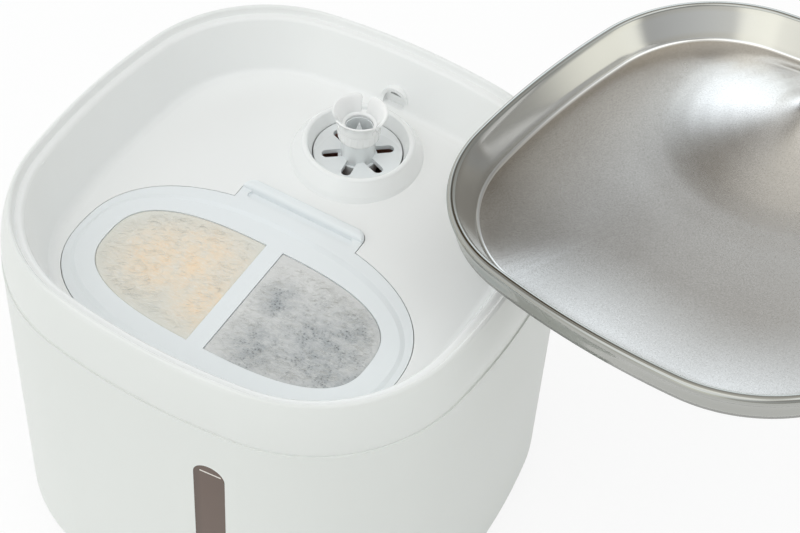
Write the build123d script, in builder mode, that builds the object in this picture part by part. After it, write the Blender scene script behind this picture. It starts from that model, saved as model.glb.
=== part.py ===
"""Pet water fountain: tank, lift-off top housing, filter cartridge, submerged pump and steel
drinking tray. Millimetres, +Z up, origin under the middle of the base on the floor, the
level window at the front (-Y)."""
from build123d import *
from math import atan2, copysign, cos, degrees, pi, radians, sin, sqrt
import os

os.makedirs("parts", exist_ok=True)

# outline of the body at the seam: four shallow side arcs, four corner arcs
HALF_WIDTH = 95.0
CORNER_RADIUS = 63.7
SIDE_RADIUS = 258.6
SEAM = 135.0            # height of the seam between the tank and the top housing
SEAM_STEP = 0.6         # the top housing stands back from the tank's edge by this much
FLARE = 2.5             # the tank is this much wider on each side at its foot
WALL = 2.5              # tank wall
TANK_FLOOR = 20.0       # top of the wet floor
LEDGE = 154.2           # ledge that the drinking tray stands on
BASIN_FLOOR = 130.9     # height of the sloped basin floor over the origin
BASIN_FALL = 0.05       # the basin floor falls this much per millimetre towards the front
FILTER_Y = -36.0        # middle of the filter lid
TAB_X = -1.0            # middle of the lid's finger tab
TAB_Y = 5.6
TAB_WIDTH = 53.0
TAB_DEPTH = 17.0
TAB_CORNER = 4.6
ROLL_FRONT = 9.3        # the tab's roll starts here, and stands this high over the basin floor
ROLL_RISE = 2.2
FIELD_RISE = 0.8        # the field round the lid's windows stands this high
LID_GAP = 0.3           # room round the lid in its pocket
HOOD_X = -1.3           # overflow hood on the basin's back wall
CUP_Y = 47.5            # axis of the pump, its cup and the outlet
SLEEVE_RADIUS = 17.2    # pump stack that the cup drops over
CUP_BORE = 17.8
TRAY_HALF = 87.4        # drinking tray, outline of its bead
TRAY_CORNER = 55.5
TRAY_SIDE = 300.0
SHEET = 0.8             # tray sheet
DOME_Y = 47.0           # outlet dome of the tray

Z_UP = Vector(0, 0, 1)
floor_plane = Plane(origin=(0, 0, BASIN_FLOOR), x_dir=(1, 0, 0), z_dir=(0, -BASIN_FALL, 1))


def outline_arcs(half_width, corner, side):
    """Centre, radius, start angle and arc of the eight tangent arcs of a soft square."""
    k = half_width - side
    c = (2 * k + sqrt(8 * (side - corner) ** 2 - 4 * k * k)) / 4
    half = 90 - degrees(atan2(c - k, c))
    arcs = []
    for quarter in range(4):
        turn = 90 * quarter
        arcs.append((Vector(k, 0).rotate(Axis.Z, turn), side, turn - half, 2 * half))
        arcs.append((Vector(c, c).rotate(Axis.Z, turn), corner, turn + half, 90 - 2 * half))
    return arcs


def soft_square(half_width, corner, side, y=0.0):
    """Fill a soft-square outline in the current sketch."""
    with BuildLine() as border:
        for centre, radius, start, arc in outline_arcs(half_width, corner, side):
            CenterArc(centre + Vector(0, y), radius, start, arc)
    make_face(border.edges())


def body_outline(inset, y=0.0):
    """Body outline moved inwards by inset."""
    soft_square(HALF_WIDTH - inset, CORNER_RADIUS - inset, SIDE_RADIUS - inset, y)


def tray_outline(inset):
    """Tray outline moved inwards by inset."""
    soft_square(TRAY_HALF - inset, TRAY_CORNER - inset, TRAY_SIDE - inset)


def carry_round(draw, half_width, corner, side):
    """Carry a profile round a soft square; x of the profile points outwards from it."""
    for centre, radius, start, arc in outline_arcs(half_width, corner, side):
        out = Vector(cos(radians(start)), sin(radians(start)))
        across = Plane(origin=centre + out * radius, x_dir=out, z_dir=out.cross(Z_UP))
        with BuildSketch(across) as section:
            draw()
        revolve(section.sketch, axis=Axis(centre, Z_UP), revolution_arc=arc)


def spin(draw, x, y):
    """Turn a profile round the upright axis through x, y; x of the profile is the radius."""
    with BuildSketch(Plane(origin=(x, y, 0), x_dir=(1, 0, 0), z_dir=(0, -1, 0))) as section:
        draw()
    revolve(section.sketch, axis=Axis((x, y, 0), Z_UP))


def oval(a, b, front, y, power=2.29, front_power=2.6):
    """Fill two half superellipses |x/a|^n + |y/b|^n = 1, the front one front deep."""
    points = []
    for step in range(48):
        t = 2 * pi * step / 48
        n = power if sin(t) >= 0 else front_power
        depth = b if sin(t) >= 0 else front
        px = a * copysign(abs(cos(t)) ** (2 / n), cos(t))
        py = depth * copysign(abs(sin(t)) ** (2 / n), sin(t))
        points.append((px, y + py))
    with BuildLine() as border:
        Spline(*points, periodic=True)
    make_face(border.edges())


def tube(radius, bore, bottom, top, x=0.0, y=CUP_Y):
    """Upright tube, or a rod where bore is 0."""
    with BuildSketch(Plane.XY.offset(bottom)) as section:
        with Locations((x, y)):
            Circle(radius)
            if bore > 0:
                Circle(bore, mode=Mode.SUBTRACT)
    extrude(section.sketch, amount=top - bottom)


def bore_out(radius, bottom, top, x=0.0, y=CUP_Y):
    """Cut an upright round hole."""
    with BuildSketch(Plane.XY.offset(bottom)) as section:
        with Locations((x, y)):
            Circle(radius)
    extrude(section.sketch, amount=top - bottom, mode=Mode.SUBTRACT)


FOOT_SPOTS = ((0.0, 0.0), (-62.0, -62.0), (62.0, -62.0), (-62.0, 62.0), (62.0, 62.0))
SCREW_SPOTS = ((-70.0, -30.0), (70.0, -30.0), (-70.0, 30.0), (70.0, 30.0))

# ---------------------------------------------------------------- tank
# Outer form: flares to the foot, with a rounded bottom edge.
with BuildPart() as tank_form:
    with BuildSketch(Plane.XY.offset(2.0)):
        body_outline(-FLARE)
    with BuildSketch(Plane.XY.offset(SEAM - 0.2)):
        body_outline(0)
    loft(ruled=True)
    fillet(tank_form.edges().group_by(Axis.Z)[0], radius=5.5)

with BuildPart() as water_space:
    with BuildSketch(Plane.XY.offset(TANK_FLOOR)):
        body_outline(WALL - FLARE + 0.33)
    with BuildSketch(Plane.XY.offset(SEAM)):
        body_outline(WALL)
    loft(ruled=True)
    fillet(water_space.edges().group_by(Axis.Z)[0], radius=6.0)

# Slot of the level window, right of the middle of the front wall.
WINDOW_X = 28.2
WINDOW_WIDTH = 12.2
WINDOW_TOP = 115.0
WINDOW_BOTTOM = 28.0

with BuildPart() as window_slot:
    with BuildSketch(Plane.XZ.offset(80)):
        with Locations((WINDOW_X, (WINDOW_TOP + WINDOW_BOTTOM) / 2)):
            SlotOverall(WINDOW_TOP - WINDOW_BOTTOM, WINDOW_WIDTH, rotation=90)
    extrude(amount=30)

with BuildPart() as tank_shell:
    add(tank_form.part)
    add(water_space.part, mode=Mode.SUBTRACT)
    # dry compartment, with a lip round the base plate
    with BuildSketch(Plane.XY.offset(2.0)):
        body_outline(3.2)
    extrude(amount=3.0, mode=Mode.SUBTRACT)
    with BuildSketch(Plane.XY.offset(5.0)):
        body_outline(0.4)
    extrude(amount=TANK_FLOOR - 2.5 - 5.0, mode=Mode.SUBTRACT)
    # dry post under the pump
    tube(9.0, 0, 18.0, 36.0)
    bore_out(7.6, 17.0, 34.4)
    bore_out(1.0, 34.8, 36.5)
    # screw bosses
    for bx, by in SCREW_SPOTS:
        tube(4.2, 1.2, 5.0, 17.6, bx, by)
    # hole for the power socket
    with BuildSketch(Plane.XZ.offset(-80)):
        with Locations((0, 10.5)):
            Circle(4.6)
    extrude(amount=-25, mode=Mode.SUBTRACT)
    add(window_slot.part, mode=Mode.SUBTRACT)
tank_shell.part.label = "tank_shell"
export_step(tank_shell.part, "parts/tank_shell.step")

# Level window: fills the slot, with a flange bonded to the inside of the wall.
with BuildPart() as wall_skin:
    add(tank_form.part)
    add(water_space.part, mode=Mode.SUBTRACT)

with BuildPart() as flange_skin:
    with BuildSketch(Plane.XY.offset(TANK_FLOOR)):
        body_outline(WALL - FLARE + 0.33)
    with BuildSketch(Plane.XY.offset(SEAM)):
        body_outline(WALL)
    loft(ruled=True)

with BuildPart() as inner_core:
    with BuildSketch(Plane.XY.offset(TANK_FLOOR)):
        body_outline(WALL - FLARE + 1.53)
    with BuildSketch(Plane.XY.offset(SEAM)):
        body_outline(WALL + 1.2)
    loft(ruled=True)

with BuildPart() as flange_slot:
    with BuildSketch(Plane.XZ.offset(80)):
        with Locations((WINDOW_X, (WINDOW_TOP + WINDOW_BOTTOM) / 2)):
            SlotOverall(WINDOW_TOP - WINDOW_BOTTOM + 4, WINDOW_WIDTH + 4, rotation=90)
    extrude(amount=30)

with BuildPart() as window_pane:
    add(window_slot.part)
    add(wall_skin.part, mode=Mode.INTERSECT)
with BuildPart() as window_flange:
    add(flange_slot.part)
    add(flange_skin.part, mode=Mode.INTERSECT)
    add(inner_core.part, mode=Mode.SUBTRACT)
with BuildPart() as level_window:
    add(window_pane.part)
    add(window_flange.part)
level_window.part.label = "level_window"
export_step(level_window.part, "parts/level_window.step")

# ---------------------------------------------------------------- dry base
with BuildPart() as base_plate:
    with BuildSketch(Plane.XY.offset(2.2)):
        body_outline(3.5)
    extrude(amount=2.8)
    # recesses for the feet
    for fx, fy in FOOT_SPOTS:
        bore_out(9.0, 2.0, 3.0, fx, fy)
    # screw holes with sunk heads
    for bx, by in SCREW_SPOTS:
        bore_out(1.7, 2.0, 5.1, bx, by)
        bore_out(3.2, 2.0, 3.6, bx, by)
    # boss that holds the pump drive up in its post
    tube(5.0, 0, 4.9, 14.0)
    # posts under the control board
    for px in (-48.0, -16.0):
        for py in (36.0, 60.0):
            tube(2.4, 0, 4.9, 8.0, px, py)
    # cradle under the power socket
    with BuildSketch(Plane.XY.offset(4.9)):
        with Locations((0, 84)):
            Rectangle(10, 9)
    extrude(amount=1.1)
base_plate.part.label = "base_plate"
export_step(base_plate.part, "parts/base_plate.step")

with BuildPart() as base_screws:
    for bx, by in SCREW_SPOTS:
        tube(2.9, 0, 2.3, 3.6, bx, by)
        tube(1.2, 0, 3.5, 14.0, bx, by)
        with BuildSketch(Plane.XY.offset(2.3)):
            with Locations((bx, by)):
                Rectangle(3.4, 0.7)
                Rectangle(0.7, 3.4)
        extrude(amount=0.7, mode=Mode.SUBTRACT)
base_screws.part.label = "base_screws"
export_step(base_screws.part, "parts/base_screws.step")

with BuildPart() as non_slip_feet:
    for fx, fy in FOOT_SPOTS:
        tube(9.0, 0, 0.0, 3.0, fx, fy)
    chamfer(non_slip_feet.edges().group_by(Axis.Z)[0], length=0.6)
non_slip_feet.part.label = "non_slip_feet"
export_step(non_slip_feet.part, "parts/non_slip_feet.step")

with BuildPart() as control_board:
    with BuildSketch(Plane.XY.offset(8.0)):
        with Locations((-32, 48)):
            Rectangle(40, 32)
    extrude(amount=1.6)
control_board.part.label = "control_board"
export_step(control_board.part, "parts/control_board.step")

with BuildPart() as driver_chip:
    with BuildSketch(Plane.XY.offset(9.6)):
        with Locations((-30, 46)):
            Rectangle(8, 6)
    extrude(amount=1.7)
driver_chip.part.label = "driver_chip"
export_step(driver_chip.part, "parts/driver_chip.step")

with BuildPart() as buffer_capacitor:
    tube(3.1, 0, 9.6, 16.6, -44.0, 56.0)
    fillet(buffer_capacitor.edges().group_by(Axis.Z)[-1], radius=0.5)
buffer_capacitor.part.label = "buffer_capacitor"
export_step(buffer_capacitor.part, "parts/buffer_capacitor.step")

# Low-voltage socket: body behind the wall, barrel mouth in the hole, centre pin.
with BuildPart() as power_socket:
    with BuildSketch(Plane.XY.offset(6.0)):
        with Locations((0, 84.0)):
            Rectangle(9.0, 14.0)
    extrude(amount=9.0)
    with BuildSketch(Plane.XZ.offset(-90)):
        with Locations((0, 10.5)):
            Circle(4.3)
    extrude(amount=-6.5)
    with BuildSketch(Plane.XZ.offset(-82)):
        with Locations((0, 10.5)):
            Circle(2.9)
    extrude(amount=-16, mode=Mode.SUBTRACT)
    with BuildSketch(Plane.XZ.offset(-81)):
        with Locations((0, 10.5)):
            Circle(0.9)
    extrude(amount=-13)
power_socket.part.label = "power_socket"
export_step(power_socket.part, "parts/power_socket.step")

# ---------------------------------------------------------------- pump drive, in the dry post
with BuildPart() as stator_core:
    tube(2.6, 0, 14.0, 33.6)
    for leg in (0, 90):
        with BuildSketch(Plane.XY.offset(31.0)):
            with Locations(Location((0, CUP_Y, 0), (0, 0, leg))):
                Rectangle(13.0, 4.6)
        extrude(amount=2.6)
stator_core.part.label = "stator_core"
export_step(stator_core.part, "parts/stator_core.step")

with BuildPart() as drive_coil:
    tube(6.8, 2.9, 17.0, 30.6)
drive_coil.part.label = "drive_coil"
export_step(drive_coil.part, "parts/drive_coil.step")

# ---------------------------------------------------------------- pump, in the water
with BuildPart() as impeller_shaft:
    tube(1.0, 0, 34.8, 47.4)
impeller_shaft.part.label = "impeller_shaft"
export_step(impeller_shaft.part, "parts/impeller_shaft.step")

with BuildPart() as rotor_magnet:
    tube(12.6, 9.6, 23.0, 34.0)
rotor_magnet.part.label = "rotor_magnet"
export_step(rotor_magnet.part, "parts/rotor_magnet.step")

with BuildPart() as impeller:
    tube(13.8, 0, 36.4, 38.0)
    tube(13.8, 12.6, 23.0, 36.5)
    tube(12.7, 9.6, 34.0, 36.5)
    tube(3.0, 0, 37.9, 43.0)
    with BuildSketch(Plane.XY.offset(37.9)):
        with Locations((0, CUP_Y)):
            with PolarLocations(7.4, 6):
                Rectangle(10.4, 1.3)
    extrude(amount=4.6)
    bore_out(1.05, 36.0, 44.0)
impeller.part.label = "impeller"
export_step(impeller.part, "parts/impeller.step")

# Pump housing: a cup on the tank floor with inlet slots.
with BuildPart() as pump_housing:
    tube(SLEEVE_RADIUS, 15.4, TANK_FLOOR, 46.0)
    tube(16.0, 9.3, TANK_FLOOR, 21.6)
    with BuildSketch(Plane.XY.offset(24.0)):
        with Locations((0, CUP_Y)):
            with PolarLocations(16.4, 12):
                Rectangle(4.0, 3.0)
    extrude(amount=7.0, mode=Mode.SUBTRACT)
pump_housing.part.label = "pump_housing"
export_step(pump_housing.part, "parts/pump_housing.step")

with BuildPart() as foam_filter:
    tube(25.0, 17.5, 20.6, 34.6)
    fillet(foam_filter.edges().filter_by(GeomType.CIRCLE).group_by(SortBy.RADIUS)[-1], radius=1.5)
foam_filter.part.label = "foam_filter"
export_step(foam_filter.part, "parts/foam_filter.step")

with BuildPart() as pump_cover:
    tube(SLEEVE_RADIUS, 0, 46.0, 48.0)
    tube(4.5, 0, 47.9, 58.0)
    bore_out(3.3, 45.0, 59.0)
    tube(1.9, 0, 46.0, 48.6)
    with BuildSketch(Plane.XY.offset(46.0)):
        with Locations((0, CUP_Y)):
            with PolarLocations(2.4, 3):
                Rectangle(2.4, 0.9)
    extrude(amount=2.4)
    bore_out(1.0, 45.0, 47.4)
pump_cover.part.label = "pump_cover"
export_step(pump_cover.part, "parts/pump_cover.step")

with BuildPart() as riser_seal:
    tube(7.4, 4.6, 48.0, 50.0)
riser_seal.part.label = "riser_seal"
export_step(riser_seal.part, "parts/riser_seal.step")

with BuildPart() as riser_tube:
    tube(6.0, 4.6, 50.0, 130.5)
riser_tube.part.label = "riser_tube"
export_step(riser_tube.part, "parts/riser_tube.step")

with BuildPart() as pump_sleeve:
    tube(SLEEVE_RADIUS, 15.7, 48.0, 132.0)
    # water ways near the foot
    with BuildSketch(Plane.XY.offset(54.0)):
        with Locations((0, CUP_Y)):
            with PolarLocations(16.4, 4, start_angle=45):
                Rectangle(5.0, 8.0)
    extrude(amount=14.0, mode=Mode.SUBTRACT)
pump_sleeve.part.label = "pump_sleeve"
export_step(pump_sleeve.part, "parts/pump_sleeve.step")

# Grille: disc with six round-ended slots, outlet tube, centre pin on three arms.
with BuildPart() as pump_grille:
    tube(17.3, 0, 132.0, 134.0)
    with BuildSketch(Plane.XY.offset(131.0)):
        with Locations((0, CUP_Y)):
            with PolarLocations(9.6, 6, start_angle=-20):
                SlotOverall(9.2, 4.0)
    extrude(amount=4.0, mode=Mode.SUBTRACT)
    tube(7.7, 0, 122.0, 132.1)
    tube(6.65, 0, 132.0, 147.0)
    bore_out(6.1, 121.0, 130.5)
    bore_out(5.1, 130.0, 148.0)
    with BuildSketch(Plane.XY.offset(137.0)):
        with Locations((0, CUP_Y)):
            with PolarLocations(2.8, 3, start_angle=30):
                Rectangle(5.6, 1.0)
    extrude(amount=2.5)
    with BuildSketch(Plane(origin=(0, CUP_Y, 0), x_dir=(1, 0, 0), z_dir=(0, -1, 0))):
        with BuildLine():
            Polyline((0, 137), (1.3, 137), (1.3, 145.5), (0, 149.5), close=True)
        make_face()
    revolve(axis=Axis((0, CUP_Y, 0), (0, 0, 1)))
pump_grille.part.label = "pump_grille"
export_step(pump_grille.part, "parts/pump_grille.step")

# Outlet nozzle: collar on the tube's end, flared lip slit into three petals.
with BuildPart() as outlet_nozzle:
    with BuildSketch(Plane(origin=(0, CUP_Y, 0), x_dir=(1, 0, 0), z_dir=(0, -1, 0))):
        with BuildLine():
            Polyline((6.95, 143.0), (8.1, 143.0), (8.2, 147.6))
            Spline((8.2, 147.6), (8.7, 150.8), (10.7, 155.1))
            Line((10.7, 155.1), (9.5, 155.1))
            Spline((9.5, 155.1), (7.4, 151.2), (6.4, 148.6))
            Polyline((6.4, 148.6), (5.5, 148.4), (5.5, 147.0), (6.95, 147.0), (6.95, 143.0))
        make_face()
    revolve(axis=Axis((0, CUP_Y, 0), (0, 0, 1)))
    with BuildSketch(Plane.XY.offset(148.9)):
        with Locations((0, CUP_Y)):
            with PolarLocations(9.5, 3, start_angle=-13):
                Rectangle(7.0, 2.4)
    extrude(amount=7.0, mode=Mode.SUBTRACT)
outlet_nozzle.part.label = "outlet_nozzle"
export_step(outlet_nozzle.part, "parts/outlet_nozzle.step")

# ---------------------------------------------------------------- top housing
# Basin: its wall leans in, and its floor falls to the front.
with BuildPart() as basin_space:
    with BuildSketch(Plane.XY.offset(LEDGE)):
        body_outline(9.6)
    with BuildSketch(floor_plane):
        body_outline(17.7, -1.7)
    loft(ruled=True)
    fillet(basin_space.faces().sort_by(Axis.Z)[0].edges(), radius=3.8)

with BuildPart() as basin_skin:
    with BuildSketch(Plane.XY.offset(LEDGE - 2.2)):
        body_outline(8.0)
    with BuildSketch(floor_plane.offset(-2.4)):
        body_outline(16.2, -1.7)
    loft(ruled=True)
    fillet(basin_skin.faces().sort_by(Axis.Z)[0].edges(), radius=6.0)


def shoulder_profile():
    """Shoulder skin, set back a little from the tank, crest, tray ledge and skirt."""
    with BuildLine() as border:
        ThreePointArc((-SEAM_STEP, SEAM - 0.2), (-1.2, 146), (-4.1, 156.3))
        ThreePointArc((-4.1, 156.3), (-5.0, 156.8), (-5.9, 156.3))
        Polyline(
            (-5.9, 156.3), (-6.6, 154.6), (-6.9, LEDGE), (-12.6, LEDGE), (-12.6, 149.4),
            (-9.6, 149.4), (-8.8, 152.0), (-6.0, 152.0), (-4.4, 148.5), (-3.0, 143.0),
            (-2.6, 138.6), (-4.9, 136.4), (-4.9, 126.0), (-2.9, 126.0), (-2.9, 130.0),
            (-3.9, 130.0), (-3.9, 132.0), (-2.9, 132.0), (-2.9, SEAM - 0.2),
            (-SEAM_STEP, SEAM - 0.2),
        )
    make_face(border.edges())


def seal_profile():
    """Square ring in the skirt's groove."""
    with BuildLine() as border:
        Polyline((-3.9, 130.0), (-2.75, 130.0), (-2.75, 132.0), (-3.9, 132.0), close=True)
    make_face(border.edges())


def cup_profile():
    """Soft ring round the pump's mouth and the tube below it."""
    with BuildLine() as border:
        Polyline((CUP_BORE, 120), (CUP_BORE, 134), (19.5, 138.7))
        ThreePointArc((19.5, 138.7), (20.7, 139.8), (22.0, 138.9))
        Polyline((22.0, 138.9), (25.4, 134.3), (27.0, 131.4), (27.0, 130.4), (19.8, 128.6))
        Polyline((19.8, 128.6), (19.8, 120), (CUP_BORE, 120))
    make_face(border.edges())


def cup_mouth_profile():
    """Space inside the cup."""
    with BuildLine() as border:
        Polyline((0, 119), (CUP_BORE, 119), (CUP_BORE, 134), (19.5, 138.7), (20.2, 140.5), (0, 140.5),
                 close=True)
    make_face(border.edges())


def lid_outline(outset):
    """Plan of the filter lid, grown by outset."""
    oval(68.0 + outset, 42.0 + outset, 38.5 + outset, FILTER_Y)


def tab_outline(outset):
    """Plan of the lid's finger tab, grown by outset."""
    with Locations((TAB_X, TAB_Y)):
        RectangleRounded(TAB_WIDTH + 2 * outset, TAB_DEPTH + 2 * outset, TAB_CORNER + outset)


with BuildPart() as top_housing:
    carry_round(shoulder_profile, HALF_WIDTH, CORNER_RADIUS, SIDE_RADIUS)
    add(basin_skin.part)
    # pocket walls under the floor
    with BuildSketch(floor_plane.offset(-6.6)):
        lid_outline(2.6)
    extrude(amount=5.6)
    with BuildSketch(floor_plane.offset(-26.0)):
        lid_outline(0.6)
    extrude(amount=20.0)
    with BuildSketch(floor_plane.offset(-6.6)):
        with Locations((0, 5.5)):
            Rectangle(60.0, 21.0)
    extrude(amount=5.6)
    add(basin_space.part, mode=Mode.SUBTRACT)
    # rounded lip between the ledge and the basin wall
    ledge_face = top_housing.faces().filter_by(Axis.Z).filter_by_position(
        Axis.Z, LEDGE - 0.01, LEDGE + 0.01)[0]
    fillet(ledge_face.inner_wires()[0].edges(), radius=2.0)
    # pocket for lid and cartridge
    with BuildSketch(floor_plane.offset(-4.4)):
        lid_outline(LID_GAP)
    extrude(amount=8.0, mode=Mode.SUBTRACT)
    with BuildSketch(floor_plane.offset(-2.4)):
        tab_outline(LID_GAP)
    extrude(amount=4.0, mode=Mode.SUBTRACT)
    with BuildSketch(floor_plane.offset(-27.0)):
        lid_outline(-1.4)
    extrude(amount=24.0, mode=Mode.SUBTRACT)
    # pump cup
    spin(cup_profile, 0, CUP_Y)
    with BuildSketch(Plane(origin=(0, CUP_Y, 0), x_dir=(1, 0, 0), z_dir=(0, -1, 0))):
        cup_mouth_profile()
    revolve(axis=Axis((0, CUP_Y, 0), Z_UP), mode=Mode.SUBTRACT)
    # low hood at the foot of the back wall, with the overflow slit under its roof
    with BuildSketch(Plane.XZ.offset(-77.0)):
        with Locations((HOOD_X, 136.8)):
            Circle(6.2)
        with Locations((HOOD_X, 130.0)):
            Rectangle(14.0, 8.0, mode=Mode.SUBTRACT)
    extrude(amount=-5.6)
    with BuildSketch(Plane.XZ.offset(-70.0)):
        with Locations((HOOD_X, 136.8)):
            Circle(4.7)
        with Locations((HOOD_X, 131.3)):
            Rectangle(14.0, 8.0, mode=Mode.SUBTRACT)
    extrude(amount=-8.3, mode=Mode.SUBTRACT)
    with BuildSketch(Plane.XZ.offset(-78.0)):
        with Locations((HOOD_X, 139.6)):
            Rectangle(5.0, 1.2)
    extrude(amount=-7.0, mode=Mode.SUBTRACT)
top_housing.part.label = "top_housing"
export_step(top_housing.part, "parts/top_housing.step")

with BuildPart() as housing_seal:
    carry_round(seal_profile, HALF_WIDTH, CORNER_RADIUS, SIDE_RADIUS)
housing_seal.part.label = "housing_seal"
export_step(housing_seal.part, "parts/housing_seal.step")

# ---------------------------------------------------------------- filter cartridge
with BuildPart() as filter_tray:
    with BuildSketch(floor_plane.offset(-4.4)):
        lid_outline(0)
    extrude(amount=2.0)
    with BuildSketch(floor_plane.offset(-22.0)):
        lid_outline(-1.9)
    extrude(amount=17.8)
    for half in (-1, 1):
        with BuildSketch(floor_plane.offset(-20.6)):
            lid_outline(-3.4)
            with Locations((-half * 50.0 + half * 0.8, FILTER_Y)):
                Rectangle(100.0, 120.0, mode=Mode.SUBTRACT)
        extrude(amount=20.0, mode=Mode.SUBTRACT)
    # grid bottom
    with BuildSketch(floor_plane.offset(-23.0)):
        with Locations((0, FILTER_Y)):
            with GridLocations(8.0, 12.0, 13, 5):
                SlotOverall(9.0, 3.2, rotation=90)
    extrude(amount=3.0, mode=Mode.SUBTRACT)
filter_tray.part.label = "filter_tray"
export_step(filter_tray.part, "parts/filter_tray.step")


def bed(name, half, bottom, height):
    """One filling, left (-1) or right (+1) of the divider."""
    with BuildPart() as filling:
        with BuildSketch(floor_plane.offset(bottom)) as plan:
            lid_outline(-3.8)
            with Locations((-half * 50.0 + half * 1.1, FILTER_Y)):
                Rectangle(100.0, 120.0, mode=Mode.SUBTRACT)
        extrude(plan.sketch, amount=height)
    filling.part.label = name
    export_step(filling.part, "parts/" + name + ".step")


bed("resin_bed", -1, -18.2, 15.4)
bed("carbon_bed", 1, -18.2, 15.4)
bed("resin_felt", -1, -20.6, 2.4)
bed("carbon_felt", 1, -20.6, 2.4)

# Lid: rim flush with the basin floor, a raised field with two windows, and a finger tab
# that ends in a soft roll.
with BuildPart() as lid_roll:
    with BuildSketch(floor_plane.offset(-1.0)):
        tab_outline(0)
        with Locations((TAB_X, ROLL_FRONT - 20.0)):
            Rectangle(2 * TAB_WIDTH, 40.0, mode=Mode.SUBTRACT)
    extrude(amount=1.0 + ROLL_RISE)
    fillet(lid_roll.faces().sort_by(Axis.Z)[-1].edges(), radius=1.8)

with BuildPart() as filter_lid:
    with BuildSketch(floor_plane.offset(-2.4)):
        lid_outline(0)
        tab_outline(0)
    extrude(amount=2.4)
    # raised field with a sloped border
    with BuildSketch(floor_plane.offset(-0.3)):
        oval(66.2, 37.7, 35.0, FILTER_Y)
    with BuildSketch(floor_plane.offset(FIELD_RISE)):
        oval(64.2, 33.6, 32.4, FILTER_Y)
    loft()
    with BuildSketch(floor_plane.offset(-3.0)):
        oval(56.4, 25.5, 25.5, FILTER_Y, 2.77, 2.77)
        with Locations((0, FILTER_Y)):
            Rectangle(7.0, 60.0, mode=Mode.SUBTRACT)
    extrude(amount=5.0, mode=Mode.SUBTRACT)
    # finger hollow in front of the roll
    with BuildSketch(floor_plane.offset(-1.1)):
        with Locations((TAB_X, ROLL_FRONT - 1.8)):
            SlotOverall(46.0, 3.6)
    extrude(amount=3.0, mode=Mode.SUBTRACT)
    add(lid_roll.part)
filter_lid.part.label = "filter_lid"
export_step(filter_lid.part, "parts/filter_lid.step")

# ---------------------------------------------------------------- drinking tray
# Built level at its own rim, then set where it is held, off to the right and tilted.
TRAY_AT = Pos(141.9, 55.5, 194.6) * Rot(0, 0, -13.11) * Rot(0, -8.05, 0) * Rot(3.75, 0, 0)


def tray_profile():
    """One fold of sheet: skirt, rolled rim, leaning wall, start of the floor."""
    with BuildLine() as border:
        Polyline((-2.4, -10.0), (-1.6, -10.0), (-1.35, -4.4), (-0.9, -3.3))
        ThreePointArc((-0.9, -3.3), (0.0, -1.6), (-1.5, 0.0))
        Line((-1.5, 0.0), (-2.3, 0.0))
        ThreePointArc((-2.3, 0.0), (-3.0, -0.25), (-3.5, -0.95))
        Line((-3.5, -0.95), (-7.0, -10.6))
        ThreePointArc((-7.0, -10.6), (-8.0, -12.3), (-9.8, -12.9))
        Polyline((-9.8, -12.9), (-12.5, -12.9), (-12.5, -12.9 - SHEET), (-9.8, -12.9 - SHEET))
        ThreePointArc((-9.8, -12.9 - SHEET), (-7.4, -12.9), (-6.25, -10.9))
        Polyline((-6.25, -10.9), (-2.85, -1.35), (-2.2, -SHEET), (-1.6, -SHEET))
        ThreePointArc((-1.6, -SHEET), (-0.85, -1.6), (-1.6, -3.3))
        Polyline((-1.6, -3.3), (-2.15, -4.4), (-2.4, -10.0))
    make_face(border.edges())


def dome_profile():
    """Wall of the dome that rises round the outlet."""
    with BuildLine() as border:
        Spline((29.0, -12.9), (21.0, -11.2), (13.5, -7.0), (8.2, -2.8), (5.0, -1.0),
               tangents=((-1, 0), (-1, 0.25)))
        Line((5.0, -1.0), (5.0, -1.8))
        Spline((5.0, -1.8), (7.9, -3.5), (13.2, -7.8), (20.9, -12.0), (29.0, -13.7),
               tangents=((1, -0.25), (1, 0)))
        Line((29.0, -13.7), (29.0, -12.9))
    make_face(border.edges())


with BuildPart() as drinking_tray:
    carry_round(tray_profile, TRAY_HALF, TRAY_CORNER, TRAY_SIDE)
    with BuildSketch(Plane.XY.offset(-12.9 - SHEET)):
        tray_outline(12.4)
    extrude(amount=SHEET)
    bore_out(28.9, -16.0, -10.0, 0, DOME_Y)
    spin(dome_profile, 0, DOME_Y)
drinking_tray.part = TRAY_AT * drinking_tray.part
drinking_tray.part.label = "drinking_tray"
export_step(drinking_tray.part, "parts/drinking_tray.step")

with BuildPart() as tray_outlet_ring:
    tube(4.9, 2.8, -3.6, -0.9, 0, DOME_Y)
    tube(5.7, 2.8, -1.0, -0.4, 0, DOME_Y)
tray_outlet_ring.part = TRAY_AT * tray_outlet_ring.part
tray_outlet_ring.part.label = "tray_outlet_ring"
export_step(tray_outlet_ring.part, "parts/tray_outlet_ring.step")
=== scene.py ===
import math

import bpy
import numpy as np
from mathutils import Matrix, Vector


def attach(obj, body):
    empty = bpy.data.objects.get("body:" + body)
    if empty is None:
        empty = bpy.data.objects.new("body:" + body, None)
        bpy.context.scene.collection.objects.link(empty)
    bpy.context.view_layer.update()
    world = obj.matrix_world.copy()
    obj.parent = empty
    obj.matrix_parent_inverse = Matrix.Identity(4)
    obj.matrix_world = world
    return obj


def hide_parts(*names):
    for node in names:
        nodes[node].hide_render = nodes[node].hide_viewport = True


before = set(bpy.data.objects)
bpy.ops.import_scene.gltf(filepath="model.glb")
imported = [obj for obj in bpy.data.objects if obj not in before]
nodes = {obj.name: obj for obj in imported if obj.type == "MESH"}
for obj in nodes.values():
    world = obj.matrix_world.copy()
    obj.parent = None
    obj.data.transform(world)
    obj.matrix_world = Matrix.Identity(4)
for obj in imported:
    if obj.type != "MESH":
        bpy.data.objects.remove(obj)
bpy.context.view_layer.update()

# ---------------------------------------------------------------------------
# Studio: a pale table in a white room that is a little brighter on the left. Soft
# lamps and dark screens stand where the steel tray mirrors them.
# ---------------------------------------------------------------------------
bpy.context.scene.view_settings.view_transform = "Standard"


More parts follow.
